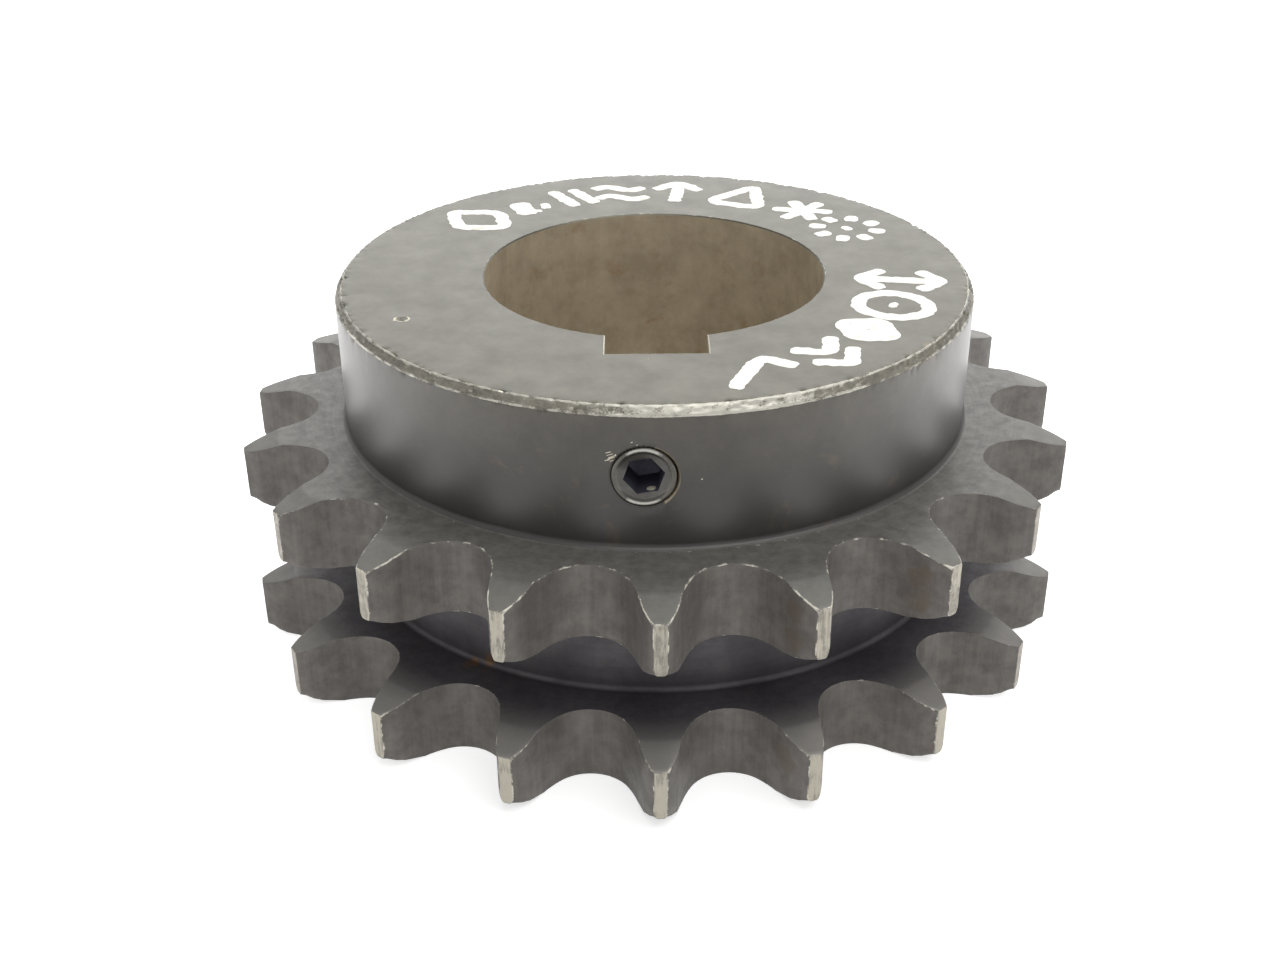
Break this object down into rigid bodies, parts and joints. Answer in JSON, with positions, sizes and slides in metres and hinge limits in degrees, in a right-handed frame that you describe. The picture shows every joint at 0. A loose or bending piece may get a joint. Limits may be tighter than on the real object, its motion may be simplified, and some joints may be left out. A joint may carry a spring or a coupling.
{
  "type": "chain sprocket",
  "caption": "Steel sprocket for two-strand roller chain, with twin toothed rings, a one-sided hub, a keyed bore and set screws.",
  "frame": {"origin": "on the bore's axis, at the outer side face of the lower tooth ring", "axes": "+Z along the bore's axis towards the hub's face, -Y through the keyway's middle and a tooth of each ring"},
  "size_m": [0.1252, 0.1249, 0.0542],
  "materials": {
    "black_steel": "black-oxided turned steel, satin, with bright worn edges",
    "screw_steel": "black-oxided alloy steel, satin"
  },
  "bodies": {
    "root": {"sprocket_body": "black_steel", "key_set_screw": "screw_steel", "side_set_screw": "screw_steel"}
  },
  "joints": []
}
